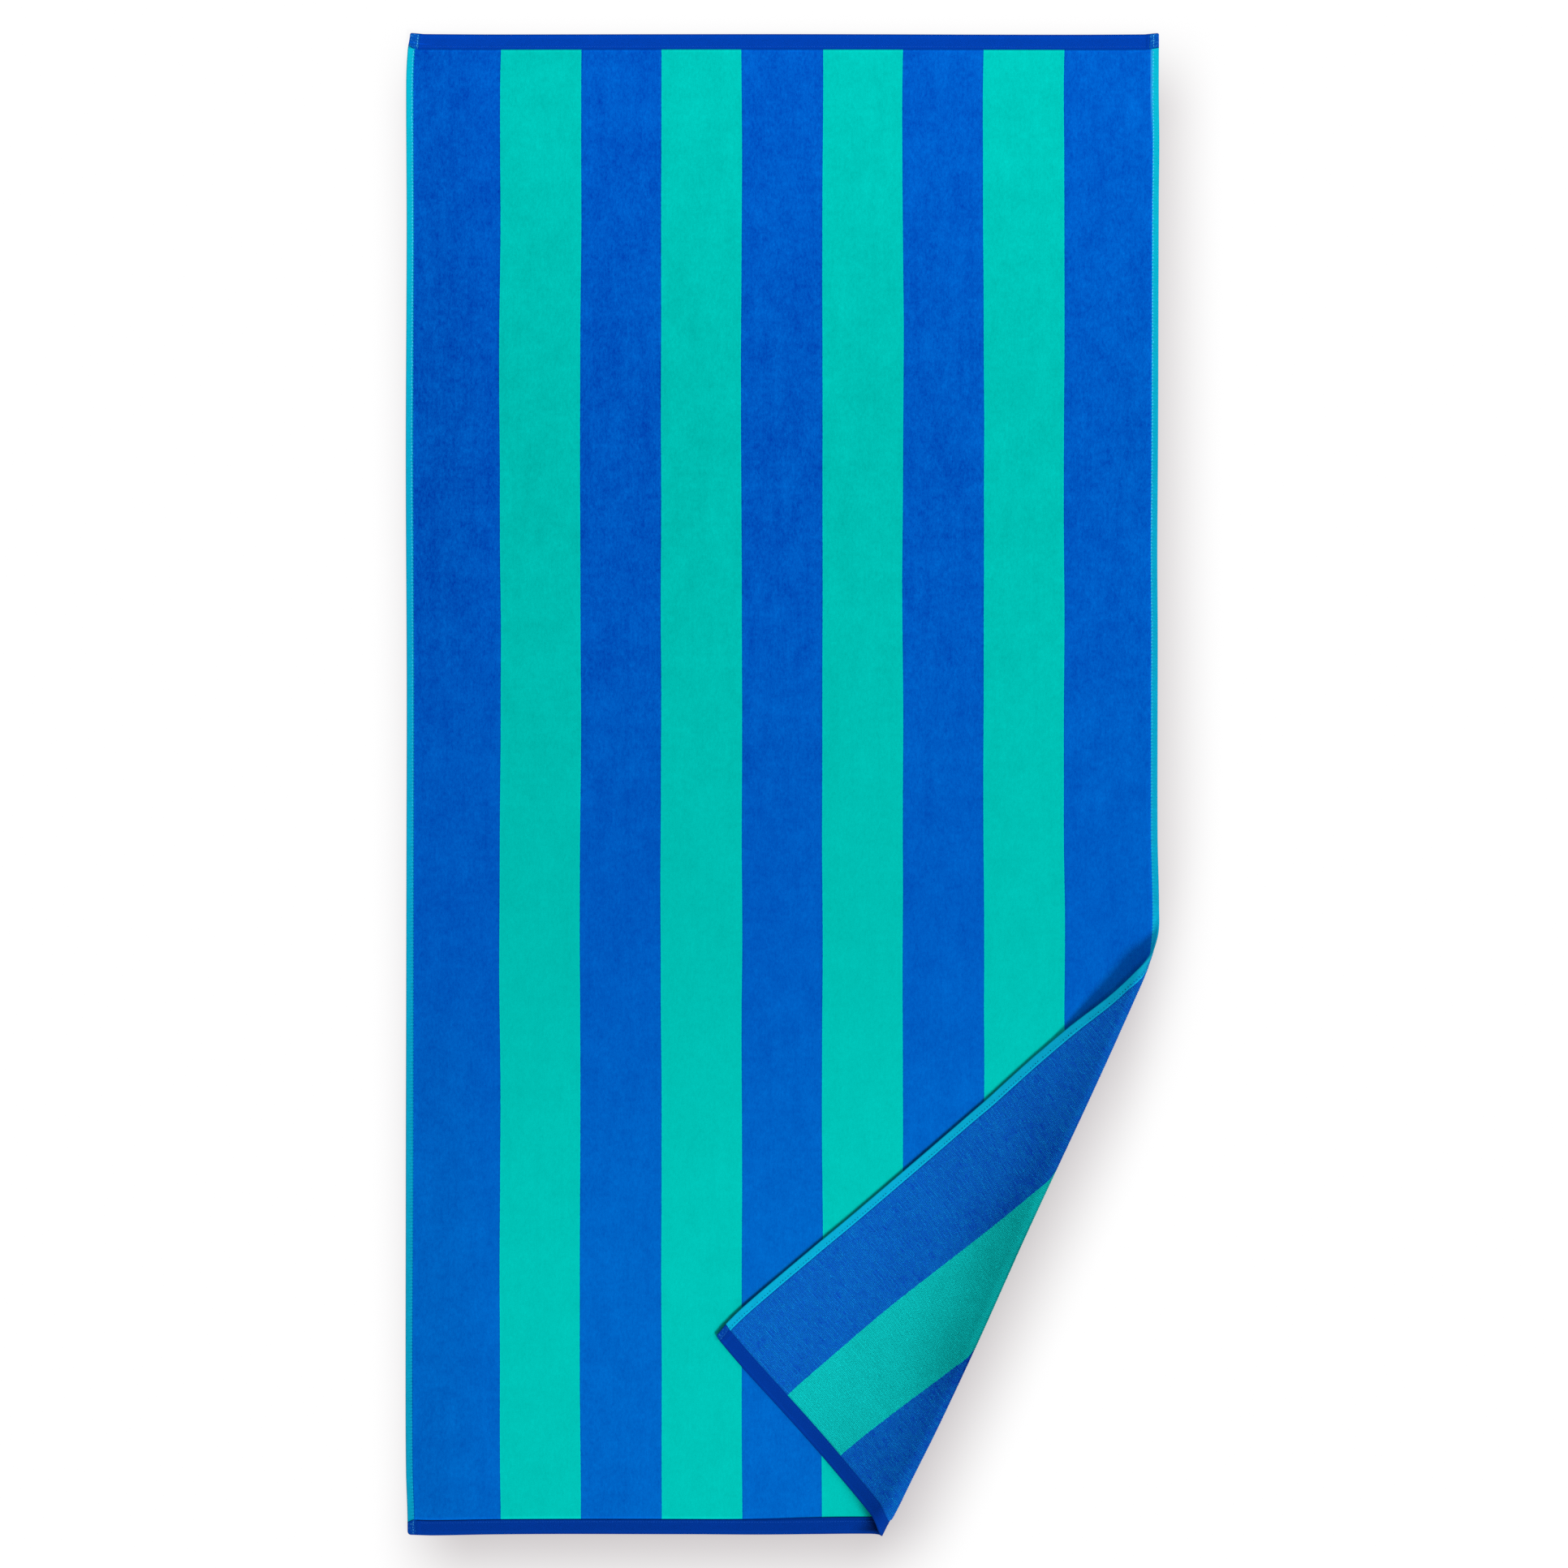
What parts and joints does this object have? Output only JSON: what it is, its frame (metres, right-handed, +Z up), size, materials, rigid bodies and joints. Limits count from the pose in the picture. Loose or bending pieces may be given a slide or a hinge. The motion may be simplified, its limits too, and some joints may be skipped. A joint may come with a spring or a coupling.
{
  "type": "beach towel with one corner turned over",
  "caption": "Striped velour beach towel lying face up, one corner folded over to show its terry back.",
  "frame": {"origin": "middle of the towel's outline, on the surface that it lies on", "axes": "+Y along the length towards the plain end, +X to the right seen from above, +Z up from the surface"},
  "size_m": [0.9019, 1.7965, 0.0298],
  "materials": {
    "towel": "cut velour in blue and green stripes, terry loops on the back, flat-woven hems"
  },
  "bodies": {
    "root": {"towel": "towel"}
  },
  "joints": []
}
